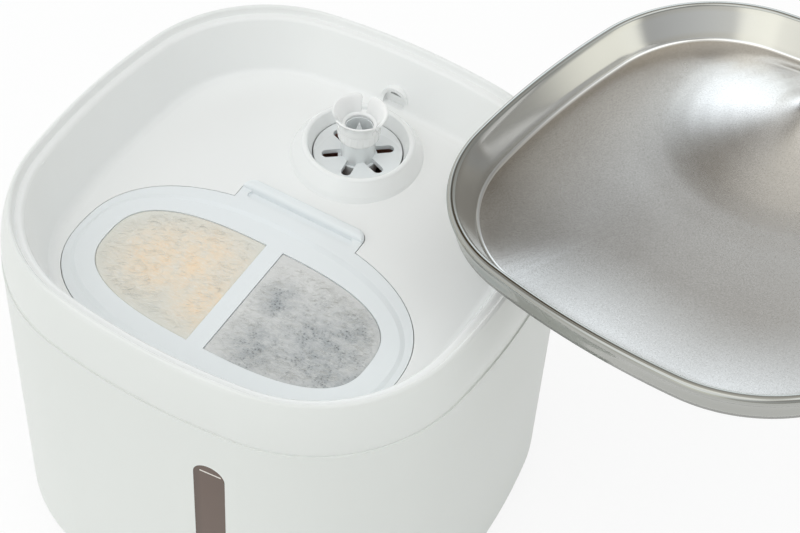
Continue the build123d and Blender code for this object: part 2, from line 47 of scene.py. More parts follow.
def node(tree, kind, feeds=None, **settings):
    """Add a shader node; settings are its properties, feeds its inputs, each a value or an output."""
    made = tree.nodes.new("ShaderNode" + kind)
    for key, value in settings.items():
        setattr(made, key, value)
    for key, value in (feeds or {}).items():
        if isinstance(value, bpy.types.NodeSocket):
            tree.links.new(value, made.inputs[key])
        else:
            made.inputs[key].default_value = value
    return made


def ramp(tree, level, stops):
    """Colour ramp over level; each stop is a place and a grey or a colour."""
    made = node(tree, "ValToRGB", {"Fac": level})
    band = made.color_ramp
    while len(band.elements) < len(stops):
        band.elements.new(0.5)
    for element, (place, tone) in zip(band.elements, stops):
        element.position = place
        element.color = (*tone, 1.0) if isinstance(tone, tuple) else (tone, tone, tone, 1.0)
    return made.outputs["Color"]


def sums(tree, operation, *values):
    """Output of a Math node over one, two or three values."""
    return node(tree, "Math", dict(enumerate(values)), operation=operation).outputs[0]


def span(tree, value, low, high, to_low=0.0, to_high=1.0, curve="LINEAR"):
    """Value carried from the range low to high over to the range to_low to to_high, held at the ends."""
    ranges = {"Value": value, "From Min": low, "From Max": high, "To Min": to_low, "To Max": to_high}
    return node(tree, "MapRange", ranges, interpolation_type=curve).outputs[0]


def scaled(tree, colour, factor):
    """Colour times a number."""
    return node(tree, "VectorMath", {0: colour, "Scale": factor}, operation="SCALE").outputs[0]


def along(tree, at, axis):
    """Dot product of a point or direction with an axis."""
    return node(tree, "VectorMath", {0: at, 1: axis}, operation="DOT_PRODUCT").outputs["Value"]


def blended(tree, mask, under, over):
    """Colour under where mask is 0 and over where it is 1."""
    under, over = ((*tone, 1.0) if isinstance(tone, tuple) else tone for tone in (under, over))
    return node(tree, "Mix", {0: mask, 6: under, 7: over}, data_type="RGBA").outputs[2]


azimuth, elevation, roll = math.radians(26.82), math.radians(48.6), math.radians(5.06)
back = Vector((math.sin(azimuth) * math.cos(elevation), -math.cos(azimuth) * math.cos(elevation),
               math.sin(elevation)))
level = Vector((math.cos(azimuth), math.sin(azimuth), 0.0))
rise = back.cross(level)
right = level * math.cos(roll) + rise * math.sin(roll)
up = rise * math.cos(roll) - level * math.sin(roll)
aim, distance = Vector((0.04664, 0.0, 0.14076)), 0.57471
eye = aim + back * distance
camera_data = bpy.data.cameras.new("camera")
camera_data.lens = 72.17
camera_data.sensor_width = 36.0
camera_data.sensor_fit = "HORIZONTAL"
camera = bpy.data.objects.new("camera", camera_data)
camera.matrix_world = Matrix((
    (right.x, up.x, back.x, eye.x),
    (right.y, up.y, back.y, eye.y),
    (right.z, up.z, back.z, eye.z),
    (0.0, 0.0, 0.0, 1.0)))
bpy.context.scene.collection.objects.link(camera)
bpy.context.scene.camera = camera

world = bpy.data.worlds.new("room")
bpy.context.scene.world = world
world.use_nodes = True
room = world.node_tree
room.nodes.clear()
room_way = node(room, "TexCoord").outputs["Generated"]
room_height = node(room, "SeparateXYZ", {0: room_way}).outputs["Z"]
room_tone = ramp(room, room_height, [
    (0.0, (0.67, 0.67, 0.635)), (0.28, (0.70, 0.70, 0.665)), (0.42, (0.73, 0.75, 0.76)),
    (0.56, (0.68, 0.70, 0.71)),
    (0.66, (0.52, 0.51, 0.495)), (0.80, (0.56, 0.55, 0.53)), (0.92, (0.78, 0.74, 0.67)),
    (1.0, (0.86, 0.85, 0.83))])
room_side = along(room, room_way, (-0.85, -0.20, 0.0))
room_power = sums(room, "MULTIPLY_ADD", room_side, 0.45, 0.96)
room_light = scaled(room, room_tone, room_power)
# lamps, and screens below zero: direction, cosine where each starts and is full, colour added
for way, start, full, tone in (((-0.24, -0.56, 0.79), 0.83, 0.94, (0.80, 0.835, 0.87)),
                               ((0.46, 0.04, 0.885), 0.86, 0.95, (0.90, 0.945, 0.99)),
                               ((-0.44, 0.82, 0.36), 0.935, 0.985, (0.86, 0.97, 1.08)),
                               ((-0.19, -0.97, 0.17), 0.93, 0.99, (0.40, 0.40, 0.35)),
                               ((0.95, 0.10, 0.25), 0.93, 0.975, (0.65, 0.65, 0.58)),
                               ((-0.68, 0.62, 0.39), 0.968, 0.998, (0.50, 0.55, 0.62)),
                               ((-0.53, 0.54, 0.655), 0.970, 0.998, (-0.50, -0.52, -0.54)),
                               ((-0.59, 0.04, 0.81), 0.980, 0.999, (-0.34, -0.34, -0.34))):
    room_near = along(room, room_way, way)
    room_part = span(room, room_near, start, full, curve="SMOOTHSTEP")
    room_extra = scaled(room, tone, room_part)
    room_light = node(room, "VectorMath", {0: room_light, 1: room_extra}, operation="ADD").outputs[0]
room_seen = node(room, "LightPath").outputs["Is Camera Ray"]
room_plain = blended(room, room_seen, room_light, (1.0, 1.0, 1.0))
room_shown = node(room, "Background", {"Color": room_plain, "Strength": 1.0})
node(room, "OutputWorld", {"Surface": room_shown.outputs[0]})

floor_mesh = bpy.data.meshes.new("floor")
floor_mesh.from_pydata([(-6, -6, 0), (6, -6, 0), (6, 6, 0), (-6, 6, 0)], [], [(0, 1, 2, 3)])
floor = bpy.data.objects.new("floor", floor_mesh)
bpy.context.scene.collection.objects.link(floor)
floor_look = bpy.data.materials.new("table_white")
floor_look.use_nodes = True
table = floor_look.node_tree
table_shader = table.nodes["Principled BSDF"]
table_shader.inputs["Base Color"].default_value = (0.95, 0.955, 0.955, 1.0)
table_shader.inputs["Roughness"].default_value = 0.9
table_path = node(table, "LightPath")
table_seen = sums(table, "MAXIMUM", table_path.outputs["Is Camera Ray"], table_path.outputs["Is Glossy Ray"])
table_seen = sums(table, "MAXIMUM", table_seen, table_path.outputs["Is Transmission Ray"])
TABLE_WHITENESS = 0.86
table_part = sums(table, "MULTIPLY", table_seen, TABLE_WHITENESS)
table_white = node(table, "Emission", {"Color": (1.0, 1.0, 1.0, 1.0), "Strength": 1.0})
table_mix = node(table, "MixShader", {0: table_part, 1: table_shader.outputs[0], 2: table_white.outputs[0]})
table.links.new(table_mix.outputs[0], table.nodes["Material Output"].inputs["Surface"])
floor_mesh.materials.append(floor_look)

# ---------------------------------------------------------------------------
# Tank: one matte white moulding with a fine spark-eroded skin. Its wall flares
# towards the foot; a plate in the same plastic closes the dry space below.
# ---------------------------------------------------------------------------


def group(name, inputs, outputs):
    """Start a shader group with number inputs (name: value) and number outputs."""
    made = bpy.data.node_groups.new(name, "ShaderNodeTree")
    for key, value in inputs.items():
        socket = made.interface.new_socket(name=key, in_out="INPUT", socket_type="NodeSocketFloat")
        socket.default_value = value
    for key in outputs:
        made.interface.new_socket(name=key, in_out="OUTPUT", socket_type="NodeSocketFloat")
    return made, made.nodes.new("NodeGroupInput"), made.nodes.new("NodeGroupOutput")


mould, mould_in, mould_out = group("moulded_skin", {"Grain": 1400.0, "Depth": 0.6}, ["Height", "Patch"])
mould_at = node(mould, "TexCoord").outputs["Object"]
mould_fine = node(mould, "TexNoise", {"Vector": mould_at, "Scale": mould_in.outputs["Grain"], "Detail": 2.0,
        "Roughness": 0.6})
mould_wide = node(mould, "TexNoise", {"Vector": mould_at, "Scale": 14.0, "Detail": 2.0, "Roughness": 0.5})
mould_low = sums(mould, "MULTIPLY", mould_fine.outputs["Fac"], mould_in.outputs["Depth"])
mould.links.new(mould_low, mould_out.inputs["Height"])
mould.links.new(mould_wide.outputs["Fac"], mould_out.inputs["Patch"])


def finish(name, **plain):
    """New Principled material; plain sets its own sockets. Returns material, tree and shader."""
    made = bpy.data.materials.new(name)
    made.use_nodes = True
    shader = made.node_tree.nodes["Principled BSDF"]
    for key, value in plain.items():
        shader.inputs[key.replace("_", " ").title().replace("Ior", "IOR")].default_value = value
    return made, made.node_tree, shader


def moulded(name, light, dark, rough, grain=1400.0, depth=0.6, lift=0.00003, **plain):
    """Moulded plastic: two close tones in slow patches, roughness that wanders with them, fine skin."""
    made, tree, shader = finish(name, **plain)
    surface = node(tree, "Group", node_tree=mould)
    surface.inputs["Grain"].default_value = grain
    surface.inputs["Depth"].default_value = depth
    tree.links.new(ramp(tree, surface.outputs["Patch"], [(0.2, dark), (0.8, light)]),
                   shader.inputs["Base Color"])
    gloss = span(tree, surface.outputs["Patch"], 0.2, 0.8, rough[0], rough[1])
    tree.links.new(gloss, shader.inputs["Roughness"])
    bump = node(tree, "Bump", {"Height": surface.outputs["Height"], "Strength": 0.4, "Distance": lift})
    tree.links.new(bump.outputs[0], shader.inputs["Normal"])
    return made


def dress(look, *names):
    """Give CAD nodes one material."""
    for name in names:
        nodes[name].data.materials.clear()
        nodes[name].data.materials.append(look)


dress(moulded("tank_white", (0.795, 0.815, 0.792), (0.78, 0.802, 0.779), (0.40, 0.48)), "tank_shell")
dress(moulded("plate_white", (0.80, 0.82, 0.80), (0.77, 0.79, 0.77), (0.46, 0.56), grain=900.0, depth=0.9),
      "base_plate")

# ---------------------------------------------------------------------------
# Level window: a strip of smoked brown clear plastic bonded into the wall, its
# fill mark a short printed line near the top.
# ---------------------------------------------------------------------------
window_look = moulded("window_smoke", (0.124, 0.079, 0.057), (0.105, 0.066, 0.047), (0.14, 0.20),
                      grain=500.0, depth=0.2)
window_tree = window_look.node_tree
window_at = node(window_tree, "SeparateXYZ", {0: node(window_tree, "TexCoord").outputs["Object"]})
MARK_HEIGHT, MARK_HALF_THICK = 0.1113, 0.00033
MARK_ACROSS, MARK_HALF_LONG = 0.0288, 0.0041
window_up = sums(window_tree, "COMPARE", window_at.outputs["Z"], MARK_HEIGHT, MARK_HALF_THICK)
window_over = sums(window_tree, "COMPARE", window_at.outputs["X"], MARK_ACROSS, MARK_HALF_LONG)
window_mark = sums(window_tree, "MULTIPLY", window_up, window_over)
window_smoke = window_tree.nodes["Principled BSDF"].inputs["Base Color"].links[0].from_socket
# painted shade: the smoked tone darkens to three quarters over the window's left 3 mm, where it meets the
# wall
window_edge_shade = span(window_tree, window_at.outputs["X"], 0.0222, 0.0252, 0.75, 1.0)
window_shaded = scaled(window_tree, window_smoke, window_edge_shade)
window_tone = blended(window_tree, window_mark, window_shaded, (0.80, 0.76, 0.70))
window_tree.links.new(window_tone, window_tree.nodes["Principled BSDF"].inputs["Base Color"])
dress(window_look, "level_window")

# ---------------------------------------------------------------------------
# Feet, seals and outlet ring: moulded grey silicone. Screws: plain steel with
# turning marks round their heads.
# ---------------------------------------------------------------------------
dress(moulded("grey_silicone", (0.50, 0.51, 0.50), (0.44, 0.45, 0.44), (0.62, 0.75), grain=1100.0,
              depth=1.0, lift=0.00006),
      "non_slip_feet", "housing_seal", "riser_seal", "tray_outlet_ring")


def bare_metal(name, light, dark, rough, stretch, lift=0.00002):
    """Metal with marks drawn out by stretch, the pattern's scale along each axis."""
    made, tree, shader = finish(name, metallic=1.0)
    at = node(tree, "TexCoord").outputs["Object"]
    drawn = node(tree, "Mapping", {"Vector": at, "Scale": stretch})
    marks = node(tree, "TexNoise", {"Vector": drawn.outputs[0], "Scale": 1.0, "Detail": 4.0,
            "Roughness": 0.65})
    tree.links.new(ramp(tree, marks.outputs["Fac"], [(0.3, dark), (0.7, light)]), shader.inputs["Base Color"])
    gloss = span(tree, marks.outputs["Fac"], 0.3, 0.7, rough[0], rough[1])
    tree.links.new(gloss, shader.inputs["Roughness"])
    bump = node(tree, "Bump", {"Height": marks.outputs["Fac"], "Strength": 0.5, "Distance": lift})
    tree.links.new(bump.outputs[0], shader.inputs["Normal"])
    return made


dress(bare_metal("screw_steel", (0.58, 0.58, 0.59), (0.44, 0.44, 0.46), (0.28, 0.42),
                 (900.0, 900.0, 2600.0)), "base_screws")
dress(bare_metal("shaft_steel", (0.62, 0.62, 0.63), (0.50, 0.50, 0.52), (0.15, 0.25),
                 (300.0, 300.0, 6000.0)), "impeller_shaft")
dress(bare_metal("core_steel", (0.42, 0.42, 0.43), (0.26, 0.26, 0.28), (0.35, 0.5), (60.0, 60.0, 3400.0),
                 lift=0.00006), "stator_core")
dress(bare_metal("magnet_ferrite", (0.13, 0.13, 0.14), (0.07, 0.07, 0.08), (0.45, 0.6),
                 (1500.0, 1500.0, 1500.0), lift=0.00005), "rotor_magnet")

# ---------------------------------------------------------------------------
# Control board: green solder mask over copper traces, with a black driver chip
# and a drawn aluminium capacitor in a dark sleeve.
# ---------------------------------------------------------------------------
board_look, board_tree, board_shader = finish("board_green", roughness=0.35, coat_weight=0.3,
        coat_roughness=0.2)
board_at = node(board_tree, "TexCoord").outputs["Object"]
board_cells = node(board_tree, "TexVoronoi", {"Vector": board_at, "Scale": 210.0, "Randomness": 0.35},
                   distance="MANHATTAN")
board_line = node(board_tree, "TexWave", {"Vector": board_at, "Scale": 160.0, "Distortion": 2.0,
        "Detail": 0.0}, bands_direction="DIAGONAL")
board_trace = sums(board_tree, "GREATER_THAN", board_line.outputs["Fac"], 0.8)
board_pad = sums(board_tree, "LESS_THAN", board_cells.outputs["Distance"], 0.16)
board_mask = blended(board_tree, board_trace, (0.012, 0.115, 0.045), (0.03, 0.20, 0.075))
board_tone = blended(board_tree, board_pad, board_mask, (0.62, 0.60, 0.55))
board_tree.links.new(board_tone, board_shader.inputs["Base Color"])
board_tree.links.new(board_pad, board_shader.inputs["Metallic"])
board_high = sums(board_tree, "ADD", board_trace, board_pad)
board_bump = node(board_tree, "Bump", {"Height": board_high, "Strength": 0.6, "Distance": 0.00008})
board_tree.links.new(board_bump.outputs[0], board_shader.inputs["Normal"])
dress(board_look, "control_board")

dress(moulded("chip_black", (0.035, 0.035, 0.037), (0.022, 0.022, 0.024), (0.45, 0.6), grain=2600.0,
              depth=1.0), "driver_chip")


def banded(look, metal, spot, inner, outer):
    """Turn a part of a plastic to bare metal: within a radius span round an upright or level axis.
    spot gives the axis as two names and two places, inner and outer the span."""
    tree = look.node_tree
    shader = tree.nodes["Principled BSDF"]
    at = node(tree, "SeparateXYZ", {0: node(tree, "TexCoord").outputs["Object"]})
    (first, a), (second, b) = spot
    da = sums(tree, "SUBTRACT", at.outputs[first], a)
    db = sums(tree, "SUBTRACT", at.outputs[second], b)
    flat = node(tree, "CombineXYZ", {0: da, 1: db})
    reach = node(tree, "VectorMath", {0: flat.outputs[0]}, operation="LENGTH")
    mask = sums(tree, "COMPARE", reach.outputs["Value"], (inner + outer) / 2, (outer - inner) / 2)
    skin_tone = shader.inputs["Base Color"].links[0].from_socket
    tone = blended(tree, mask, skin_tone, metal)
    tree.links.new(tone, shader.inputs["Base Color"])
    tree.links.new(mask, shader.inputs["Metallic"])
    return look


CAPACITOR_AXIS = (("X", -0.044), ("Y", 0.056))
SOCKET_AXIS = (("X", 0.0), ("Z", 0.0105))
dress(banded(moulded("capacitor_sleeve", (0.05, 0.055, 0.10), (0.035, 0.04, 0.075), (0.25, 0.35),
                     grain=700.0, depth=0.3),
             (0.70, 0.71, 0.72), CAPACITOR_AXIS, 0.0, 0.0024), "buffer_capacitor")
dress(banded(moulded("socket_black", (0.03, 0.03, 0.032), (0.02, 0.02, 0.022), (0.3, 0.42), grain=1200.0,
                     depth=0.8),
             (0.68, 0.66, 0.60), SOCKET_AXIS, 0.0, 0.00095), "power_socket")

# ---------------------------------------------------------------------------
# Drive coil: enamelled copper wire wound on the core in the dry post. The turns
# show as beads, which are the profile's only relief.
# ---------------------------------------------------------------------------
CUP_Y = 0.0475


def skin(name, *patches):
    """One smooth mesh from grids of points (rows, columns, 3), each closed across its columns. A
    patch's kind says whether its rows close on themselves (ring), end in poles (capped) or stay open."""
    every_point, every_face, start = [], [], 0
    for grid, kind in patches:
        rows, columns, _ = grid.shape
        here = np.arange(rows * columns).reshape(rows, columns) + start
        there = np.roll(here, -1, axis=1)
        if kind == "ring":
            low, low_next = here, there
            high, high_next = np.roll(here, -1, axis=0), np.roll(there, -1, axis=0)
        else:
            low, high, low_next, high_next = here[:-1], here[1:], there[:-1], there[1:]
        every_point.append(grid.reshape(-1, 3))
        every_face += np.stack([low, low_next, high_next, high], axis=-1).reshape(-1, 4).tolist()
        start += rows * columns
        if kind == "capped":
            every_point.append(np.stack([grid[0].mean(axis=0), grid[-1].mean(axis=0)]))
            every_face += np.stack([np.full(columns, start), there[0], here[0]], axis=-1).tolist()
            every_face += np.stack([np.full(columns, start + 1), here[-1], there[-1]], axis=-1).tolist()
            start += 2
    mesh = bpy.data.meshes.new(name)
    mesh.from_pydata(np.vstack(every_point).tolist(), [], every_face)
    mesh.polygons.foreach_set("use_smooth", np.ones(len(every_face), dtype=bool))
    mesh.update()
    thing = bpy.data.objects.new(name, mesh)
    bpy.context.scene.collection.objects.link(thing)
    return thing


def turned(profile, steps):
    """Profile points (radius, height) in metres turned round the pump's axis, anticlockwise from
    above; a profile listed with the inside on its left gives faces that point outwards."""
    turns = np.linspace(0.0, 2 * math.pi, steps, endpoint=False)
    loop = np.array(profile)
    radius, height = loop[None, :, 0], loop[None, :, 1]
    x = radius * np.cos(turns)[:, None]
    y = CUP_Y + radius * np.sin(turns)[:, None]
    return np.stack([x, y, np.broadcast_to(height, x.shape)], axis=-1)


COIL_RADIUS, COIL_BEADS = 0.00668, 24
wound = np.linspace(0.0, 1.0, 145)
bead = (1 - np.abs(np.cos(COIL_BEADS * math.pi * wound))) ** 1.5
wound_side = np.column_stack([COIL_RADIUS - 0.00022 * bead, 0.0174 + 0.0128 * wound])
coil_profile = [(0.00295, 0.0302), (0.00295, 0.0174)] + wound_side.tolist()
coil = skin("coil_windings", (turned(coil_profile, 96), "ring"))
coil_look, coil_tree, coil_shader = finish("copper_wire", metallic=1.0, coat_weight=0.6, coat_roughness=0.12)
coil_at = node(coil_tree, "TexCoord").outputs["Object"]
coil_drawn = node(coil_tree, "Mapping", {"Vector": coil_at, "Scale": (250.0, 250.0, 3800.0)})
coil_marks = node(coil_tree, "TexNoise", {"Vector": coil_drawn.outputs[0], "Scale": 1.0, "Detail": 3.0})
coil_tree.links.new(ramp(coil_tree, coil_marks.outputs["Fac"],
        [(0.3, (0.48, 0.19, 0.075)), (0.7, (0.70, 0.31, 0.13))]), coil_shader.inputs["Base Color"])
coil_gloss = span(coil_tree, coil_marks.outputs["Fac"], 0.0, 1.0, 0.2, 0.4)
coil_tree.links.new(coil_gloss, coil_shader.inputs["Roughness"])
coil.data.materials.append(coil_look)
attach(coil, "tank")
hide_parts("drive_coil")

# ---------------------------------------------------------------------------
# Pump: a cup, cover and tall sleeve in dark brown tinted plastic, round a white
# six-bladed impeller, with a milky riser tube up the middle.
# ---------------------------------------------------------------------------
pump_look = moulded("pump_brown", (0.27, 0.105, 0.070), (0.21, 0.080, 0.054), (0.28, 0.38), grain=1200.0,
                    depth=0.4)
pump_tree = pump_look.node_tree
pump_shader = pump_tree.nodes["Principled BSDF"]
pump_up = node(pump_tree, "SeparateXYZ", {0: node(pump_tree, "TexCoord").outputs["Object"]}).outputs["Z"]
# painted light: the brown turns a lighter reddish tone over the top 18 mm, under the grille, where light
# falls in
pump_painted_top_light = span(pump_tree, pump_up, 0.112, 0.130)
pump_brown = pump_shader.inputs["Base Color"].links[0].from_socket
pump_tone = blended(pump_tree, pump_painted_top_light, pump_brown, (0.62, 0.30, 0.22))
pump_tree.links.new(pump_tone, pump_shader.inputs["Base Color"])
dress(pump_look, "pump_sleeve", "pump_housing", "pump_cover")
dress(moulded("impeller_white", (0.80, 0.81, 0.79), (0.76, 0.77, 0.75), (0.35, 0.45), grain=1500.0,
              depth=0.5), "impeller")
dress(moulded("riser_milky", (0.90, 0.92, 0.915), (0.85, 0.875, 0.87), (0.22, 0.3), grain=600.0, depth=0.3,
              transmission_weight=0.3, ior=1.45), "riser_tube")
dress(moulded("grille_white", (0.84, 0.865, 0.87), (0.82, 0.85, 0.855), (0.24, 0.32), grain=900.0,
              depth=0.25), "pump_grille")

# ---------------------------------------------------------------------------
# Pump foam: a ring of black open-cell foam, cut from a block and pushed over the
# pump's inlet slots, where its own grip holds it.
# ---------------------------------------------------------------------------
foam_turns, foam_across = 240, 64
foam_a = np.linspace(0, 2 * math.pi, foam_turns, endpoint=False)[:, None]
foam_b = np.linspace(0, 2 * math.pi, foam_across, endpoint=False)[None, :]
foam_x = np.sign(np.cos(foam_b)) * np.abs(np.cos(foam_b)) ** 0.32
foam_z = np.sign(np.sin(foam_b)) * np.abs(np.sin(foam_b)) ** 0.32
foam_swirl = np.sin(9 * foam_b + 2.2 * np.sin(17 * foam_a))
foam_pits = 0.5 + 0.5 * np.sin(34 * foam_a + 3 * np.sin(5 * foam_b)) * foam_swirl
FOAM_RADIUS, FOAM_HALF_THICK, FOAM_HEIGHT, FOAM_HALF_TALL = 0.0212, 0.00365, 0.0276, 0.0069
foam_r = FOAM_RADIUS + FOAM_HALF_THICK * foam_x - 0.0004 * foam_pits * np.clip(foam_x, 0, 1)
foam_h = FOAM_HEIGHT + (FOAM_HALF_TALL - 0.0003 * foam_pits) * foam_z
foam = skin("foam_ring",
            (np.stack([foam_r * np.cos(foam_a), CUP_Y + foam_r * np.sin(foam_a), foam_h], axis=-1), "ring"))
foam_look, foam_tree, foam_shader = finish("open_foam", roughness=0.95)
foam_at = node(foam_tree, "TexCoord").outputs["Object"]
foam_cells = node(foam_tree, "TexVoronoi", {"Vector": foam_at, "Scale": 900.0, "Randomness": 0.9})
foam_tree.links.new(ramp(foam_tree, foam_cells.outputs["Distance"],
        [(0.1, (0.012, 0.012, 0.013)), (0.55, (0.075, 0.075, 0.078))]), foam_shader.inputs["Base Color"])
foam_bump = node(foam_tree, "Bump", {"Height": foam_cells.outputs["Distance"], "Strength": 1.0,
        "Distance": 0.0005})
foam_tree.links.new(foam_bump.outputs[0], foam_shader.inputs["Normal"])
foam.data.materials.append(foam_look)
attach(foam, "tank")
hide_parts("foam_filter")

# ---------------------------------------------------------------------------
# Outlet nozzle: a soft milky moulding pushed over the pump's outlet. A ribbed
# collar carries three flared petals with thick rounded rims.
# ---------------------------------------------------------------------------
nozzle_turns = np.linspace(0.0, 2 * math.pi, 288, endpoint=False)
collar_loop = np.array([(6.97, 143.0), (8.0, 143.0), (8.12, 143.25), (8.15, 144.2), (8.15, 145.6),
                        (8.15, 146.8), (8.2, 147.6), (8.3, 148.6), (8.1, 149.1), (7.0, 149.1),
                        (6.45, 148.7), (5.6, 148.4), (5.5, 148.2), (5.5, 147.0), (6.97, 147.0)])
collar_rib = np.where((collar_loop[:, 1] > 143.5) & (collar_loop[:, 1] < 147.0) & (collar_loop[:, 0] > 7.5),
                      1.0, 0.0)
COLLAR_RIBS, RIB_DEPTH = 22, 0.22
rib_wave = np.clip(np.cos(COLLAR_RIBS * nozzle_turns), 0, 1)[:, None]
collar_r = collar_loop[None, :, 0] + RIB_DEPTH * collar_rib[None, :] * rib_wave
collar = np.stack([collar_r * np.cos(nozzle_turns)[:, None],
                   CUP_Y * 1000 + collar_r * np.sin(nozzle_turns)[:, None],
                   np.broadcast_to(collar_loop[None, :, 1], collar_r.shape)], axis=-1) / 1000
petal_loop = np.array([(8.25, 148.0), (8.3, 149.0), (8.6, 150.6), (9.1, 152.1), (9.75, 153.5),
                       (10.35, 154.45), (10.62, 154.85), (10.55, 155.05), (10.25, 155.1), (9.85, 154.98),
                       (9.2, 154.25), (8.5, 153.1), (7.8, 151.8), (7.1, 150.3), (6.6, 149.0),
                       (6.45, 148.2)])


def petal(first, last):
    """Petal between two angles: its profile loop is carried round, and the height over the collar
    shrinks towards both ends as the eighth power of the way out, which rounds the corners."""
    across = np.linspace(-1.0, 1.0, 61)
    angles = (first + (last - first) * (across + 1) / 2)[:, None]
    fall = (0.16 * np.abs(across) ** 8 + 0.10 * np.clip((np.abs(across) - 0.93) / 0.07, 0, 1) ** 2)[:, None]
    share = ((petal_loop[:, 1] - 148.0) / 7.1)[None, :]
    radius = petal_loop[None, :, 0] - fall * share * 2.0
    height = petal_loop[None, :, 1] - fall * share * 7.1
    return np.stack([radius * np.cos(angles), CUP_Y * 1000 + radius * np.sin(angles), height], axis=-1) / 1000


gap = math.radians(8.5)
petals = [(petal(math.radians(turn) + gap, math.radians(turn + 120) - gap), "capped")
          for turn in (-13, 107, 227)]
nozzle = skin("petal_nozzle", (collar, "ring"), *petals)
nozzle_look = moulded("nozzle_milky", (0.965, 0.97, 0.965), (0.945, 0.95, 0.945), (0.16, 0.24), grain=500.0,
                      depth=0.25, transmission_weight=0.06, ior=1.42)
nozzle.data.materials.append(nozzle_look)
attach(nozzle, "nozzle")
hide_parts("outlet_nozzle")

# ---------------------------------------------------------------------------
# Top housing: one glossy white moulding with the crest, the ledge the tray
# stands on, the sloped basin, the pump's cup and the overflow hood.
# ---------------------------------------------------------------------------
housing_look = moulded("basin_white", (0.90, 0.912, 0.907), (0.885, 0.90, 0.895), (0.20, 0.27), grain=420.0,
                       depth=0.3, lift=0.00002)
housing_tree = housing_look.node_tree
housing_shader = housing_tree.nodes["Principled BSDF"]
# outside the crest the skin is satin like the tank's: (|x|^2.8 + |y|^2.8)^(1/2.8) is over 0.09 m there
housing_at = node(housing_tree, "SeparateXYZ", {0: node(housing_tree, "TexCoord").outputs["Object"]})
CREST_POWER = 2.8
housing_x = sums(housing_tree, "POWER", sums(housing_tree, "ABSOLUTE", housing_at.outputs["X"]), CREST_POWER)
housing_y = sums(housing_tree, "POWER", sums(housing_tree, "ABSOLUTE", housing_at.outputs["Y"]), CREST_POWER)
housing_sum = sums(housing_tree, "ADD", housing_x, housing_y)
housing_span = sums(housing_tree, "POWER", housing_sum, 1 / CREST_POWER)
housing_skin = span(housing_tree, housing_span, 0.0890, 0.0912)
housing_white = housing_shader.inputs["Base Color"].links[0].from_socket
housing_tone = blended(housing_tree, housing_skin, housing_white, (0.80, 0.82, 0.80))
housing_tree.links.new(housing_tone, housing_shader.inputs["Base Color"])
housing_gloss = housing_shader.inputs["Roughness"].links[0].from_socket
housing_satin = node(housing_tree, "Mix", {0: housing_skin, 2: housing_gloss, 3: 0.36}).outputs[0]
housing_tree.links.new(housing_satin, housing_shader.inputs["Roughness"])
dress(housing_look, "top_housing")

# ---------------------------------------------------------------------------
# Cartridge tray and lid: thin bluish-white mouldings with a satin face. The
# lid's windows hold the filter pads down.
# ---------------------------------------------------------------------------
dress(moulded("cartridge_white", (0.84, 0.875, 0.89), (0.825, 0.865, 0.88), (0.30, 0.38), grain=800.0,
              depth=0.35), "filter_lid", "filter_tray")

# ---------------------------------------------------------------------------
# Filter pads: a bag of white fleece over each filling, ion-exchange resin on
# the left and carbon on the right, pressed up through the lid's windows, and
# a slab of cotton felt under each.
# ---------------------------------------------------------------------------
FLOOR_HEIGHT, FLOOR_FALL, LID_Y = 0.1309, 0.05, -0.036


def on_basin(x, y, lift):
    """Points over the sloped basin floor: x across, y up the slope, lift off it."""
    tilt = math.hypot(1.0, FLOOR_FALL)
    return np.stack([x, (y - lift * FLOOR_FALL) / tilt, FLOOR_HEIGHT + (y * FLOOR_FALL + lift) / tilt],
                    axis=-1)


def half_oval(side, centre, a, b, front, power, front_power, gap, turns):
    """Reach from centre, per angle, of half an oval |x/a|^n + |y/b|^n = 1 cut off at x = side * gap:
    found by halving between 0 and 90 mm, 40 times over for all the angles at once."""
    low, high = np.zeros(len(turns)), np.full(len(turns), 0.09)
    for _ in range(40):
        mid = (low + high) / 2
        x = centre[0] + mid * np.cos(turns)
        y = centre[1] + mid * np.sin(turns) - LID_Y
        n = np.where(y >= 0, power, front_power)
        depth = np.where(y >= 0, b, front)
        outside = (np.abs(x / a) ** n + np.abs(y / depth) ** n > 1) | (x * side < gap)
        low, high = np.where(outside, low, mid), np.where(outside, mid, high)
    return low


def corner_turns(centre, side):
    """Angles for the columns, evenly spaced but for the ones nearest a window corner, which move onto it."""
    turns = np.linspace(0.0, 2 * math.pi, 288, endpoint=False)
    for y in (0.02545, -0.02545):
        corner = math.atan2(LID_Y + y - centre[1], side * 0.0037 - centre[0]) % (2 * math.pi)
        turns[np.argmin(np.abs(turns - corner))] = corner
    return turns


fleece, fleece_in, fleece_out = group("fleece_fibres", {"Fine": 1.0}, ["Fibre", "Cloud"])
fleece_at = node(fleece, "TexCoord").outputs["Object"]
fleece_long = node(fleece, "Mapping", {"Vector": fleece_at, "Rotation": (0.0, 0.0, math.radians(-24.0)),
        "Scale": (240.0, 1500.0, 1500.0)})
fleece_cross = node(fleece, "Mapping", {"Vector": fleece_at, "Rotation": (0.0, 0.0, math.radians(-52.0)),
        "Scale": (320.0, 1300.0, 1300.0)})
fleece_a = node(fleece, "TexNoise", {"Vector": fleece_long.outputs[0], "Scale": fleece_in.outputs["Fine"],
        "Detail": 3.0, "Roughness": 0.6, "Distortion": 0.6})
fleece_b = node(fleece, "TexNoise", {"Vector": fleece_cross.outputs[0], "Scale": fleece_in.outputs["Fine"],
        "Detail": 3.0, "Roughness": 0.6, "Distortion": 0.9})
fleece_both = sums(fleece, "MAXIMUM", fleece_a.outputs["Fac"], fleece_b.outputs["Fac"])
fleece_cloud = node(fleece, "TexNoise", {"Vector": fleece_at, "Scale": 170.0, "Detail": 6.0,
        "Roughness": 0.66, "Distortion": 0.5})
fleece.links.new(fleece_both, fleece_out.inputs["Fibre"])
fleece.links.new(fleece_cloud.outputs["Fac"], fleece_out.inputs["Cloud"])


